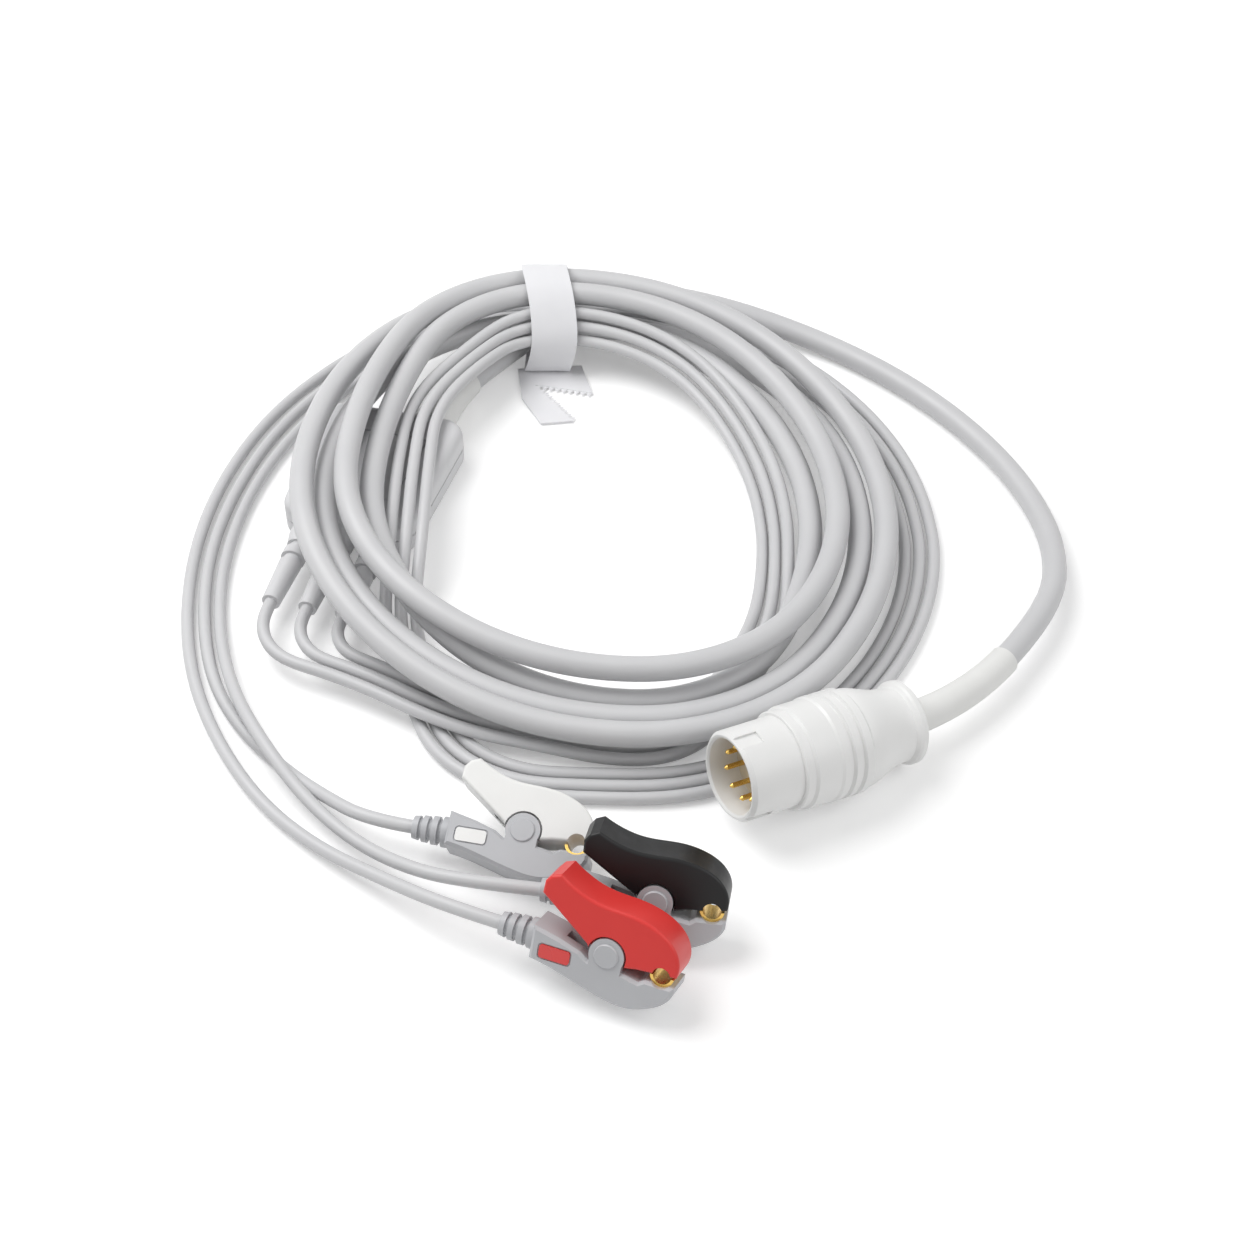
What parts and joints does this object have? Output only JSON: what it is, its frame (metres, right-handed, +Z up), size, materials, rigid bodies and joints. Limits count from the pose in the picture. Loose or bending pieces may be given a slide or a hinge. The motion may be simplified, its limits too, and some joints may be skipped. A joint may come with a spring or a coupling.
{
  "type": "ecg patient cable",
  "caption": "Coiled one-piece ECG patient cable: a round multi-pin plug, a grey trunk cord, a flat moulded yoke and slim leads that end in colour-coded spring clips for snap electrodes.",
  "frame": {"origin": "on the table, under the middle of the box round the plug, yoke, clips and tie", "axes": "Z up from the table; X along the plug, whose rim faces -X and a little up; Y across"},
  "size_m": [0.1999, 0.2179, 0.0247],
  "materials": {
    "cable_sheath": "light grey flexible sheath, satin",
    "white_plastic": "white moulded plastic, fine satin",
    "yoke_plastic": "pale grey moulded plastic, fine satin",
    "sleeve_plastic": "white soft moulding",
    "clip_grey": "mid grey moulded plastic",
    "lever_white": "white moulded plastic",
    "lever_black": "black moulded plastic",
    "lever_red": "red moulded plastic",
    "label_plate": "bare printed plate",
    "label_red": "bare red plate",
    "gold_contact": "gold plated",
    "spring_steel": "drawn steel",
    "board_laminate": "green laminate",
    "resistor_body": "lacquered",
    "tie_film": "milky translucent strap"
  },
  "bodies": {
    "cable": {"yoke_lower_shell": "yoke_plastic", "yoke_upper_shell": "yoke_plastic", "yoke_label_plate": "label_plate", "yoke_circuit_board": "board_laminate", "yoke_resistor_1": "resistor_body", "yoke_resistor_2": "resistor_body", "yoke_resistor_3": "resistor_body", "yoke_lead_sleeve_ra": "sleeve_plastic", "yoke_lead_sleeve_la": "sleeve_plastic", "yoke_lead_sleeve_ll": "sleeve_plastic", "yoke_trunk_sleeve": "sleeve_plastic", "plug_front_shell": "white_plastic", "plug_step_ring": "white_plastic", "plug_backshell": "white_plastic", "plug_insulator": "white_plastic", "plug_pin_header": "gold_contact", "plug_shield_can": "spring_steel", "plug_crimp_ferrule": "gold_contact", "plug_conductor_bundle": "resistor_body", "plug_sleeve": "sleeve_plastic", "clip_ra_base": "clip_grey", "clip_ra_pivot_pin": "clip_grey", "clip_ra_spring": "spring_steel", "clip_ra_contact": "gold_contact", "clip_ra_strain_relief": "clip_grey", "clip_ra_label": "label_plate", "clip_la_base": "clip_grey", "clip_la_pivot_pin": "clip_grey", "clip_la_spring": "spring_steel", "clip_la_contact": "gold_contact", "clip_la_strain_relief": "clip_grey", "clip_la_label": "label_plate", "clip_ll_base": "clip_grey", "clip_ll_pivot_pin": "clip_grey", "clip_ll_spring": "spring_steel", "clip_ll_contact": "gold_contact", "clip_ll_strain_relief": "clip_grey", "clip_ll_label": "label_red", "trunk_coil": "cable_sheath", "trunk_tail": "cable_sheath", "lead_ra_coil": "cable_sheath", "lead_ra_tail": "cable_sheath", "lead_la_coil": "cable_sheath", "lead_la_tail": "cable_sheath", "lead_ll_coil": "cable_sheath", "lead_ll_tail": "cable_sheath", "cable_tie": "tie_film"},
    "lever_ra": {"clip_ra_lever": "lever_white"},
    "lever_la": {"clip_la_lever": "lever_black"},
    "lever_ll": {"clip_ll_lever": "lever_red"}
  },
  "joints": [
    {"name": "clip_ra_squeeze", "type": "hinge", "parent": "cable", "child": "lever_ra", "pos_m": [-0.04717, -0.05744, 0.00769], "axis": [-0.2668, -0.307, 0.9135], "range_deg": [0, 20], "stiffness_Nm_per_rad": 0.06, "springref_deg": -20.05},
    {"name": "clip_la_squeeze", "type": "hinge", "parent": "cable", "child": "lever_la", "pos_m": [-0.03248, -0.08456, 0.01045], "axis": [-0.5362, -0.7116, 0.454], "range_deg": [0, 20], "stiffness_Nm_per_rad": 0.06, "springref_deg": -20.05},
    {"name": "clip_ll_squeeze", "type": "hinge", "parent": "cable", "child": "lever_ll", "pos_m": [-0.04613, -0.09186, 0.01041], "axis": [-0.67, -0.5622, 0.4848], "range_deg": [0, 20], "stiffness_Nm_per_rad": 0.06, "springref_deg": -20.05}
  ]
}
